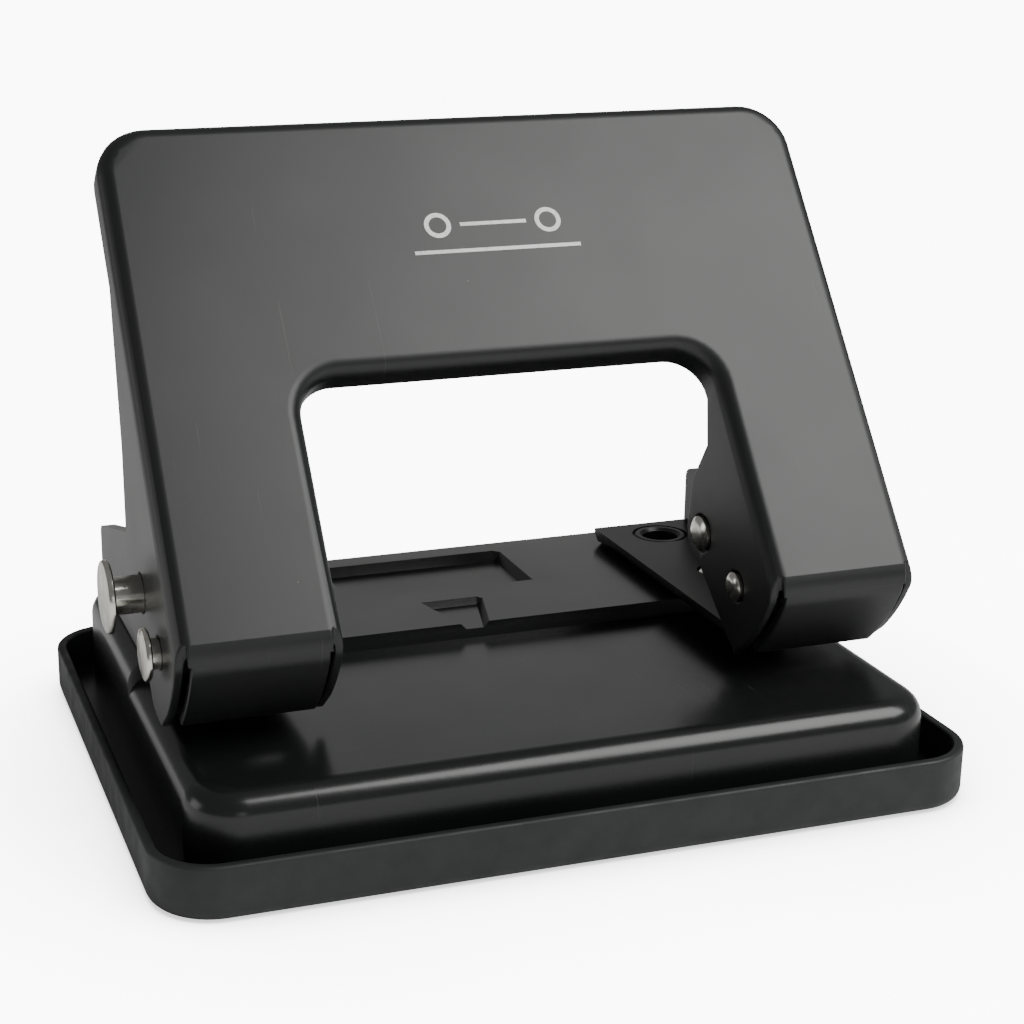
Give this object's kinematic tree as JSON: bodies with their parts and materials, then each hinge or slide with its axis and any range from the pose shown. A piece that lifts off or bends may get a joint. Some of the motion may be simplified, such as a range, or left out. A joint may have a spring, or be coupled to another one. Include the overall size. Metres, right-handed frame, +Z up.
{
  "type": "hole punch",
  "caption": "Desk hole punch for paper: a pressed lever with a wide window turns on two bracket arms and drives paired round punches through a hollow steel base on a chip tray.",
  "frame": {"origin": "middle of the underside of the chip tray", "axes": "+Z up, paper goes in along +Y from the front, +X to the right; the pieces mirror across X = 0"},
  "size_m": [0.1122, 0.0856, 0.0874],
  "materials": {
    "black_enamel": "satin",
    "black_plastic": "matte",
    "nickel_plate": "gloss",
    "tool_steel": "satin",
    "spring_steel": "satin"
  },
  "bodies": {
    "tray": {"chip_tray": "black_plastic"},
    "base": {"base_plate": "black_enamel", "left_bracket": "black_enamel", "right_bracket": "black_enamel", "left_return_spring": "spring_steel", "right_return_spring": "spring_steel", "left_spring_seat": "nickel_plate", "right_spring_seat": "nickel_plate", "left_foot_rivet": "nickel_plate", "right_foot_rivet": "nickel_plate", "left_foot_eyelet": "black_enamel", "right_foot_eyelet": "black_enamel"},
    "lever": {"lever": "black_enamel", "left_pivot_pin": "nickel_plate", "right_pivot_pin": "nickel_plate", "left_drive_pin": "nickel_plate", "right_drive_pin": "nickel_plate"},
    "left_punch": {"left_punch": "tool_steel", "left_spring_cap": "nickel_plate"},
    "right_punch": {"right_punch": "tool_steel", "right_spring_cap": "nickel_plate"}
  },
  "joints": [
    {"name": "base_lift", "type": "slide", "parent": "tray", "child": "base", "axis": [0, 0, 1], "range_m": [0, 0.03]},
    {"name": "lever_hinge", "type": "hinge", "parent": "base", "child": "lever", "pos_m": [0, -0.0204, 0.0264], "axis": [-1, 0, 0], "range_deg": [0, 20], "stiffness_Nm_per_rad": 0.27, "springref_deg": -13.75},
    {"name": "left_punch_stroke", "type": "slide", "parent": "base", "child": "left_punch", "axis": [0, 0, -1], "range_m": [0, 0.00396], "deforming": ["left_return_spring"]},
    {"name": "right_punch_stroke", "type": "slide", "parent": "base", "child": "right_punch", "axis": [0, 0, -1], "range_m": [0, 0.00396], "deforming": ["right_return_spring"]}
  ],
  "couplings": [
    {"joint": "left_punch_stroke", "follows": "lever_hinge", "m_per_rad": 0.011301},
    {"joint": "right_punch_stroke", "follows": "lever_hinge", "m_per_rad": 0.011301}
  ]
}
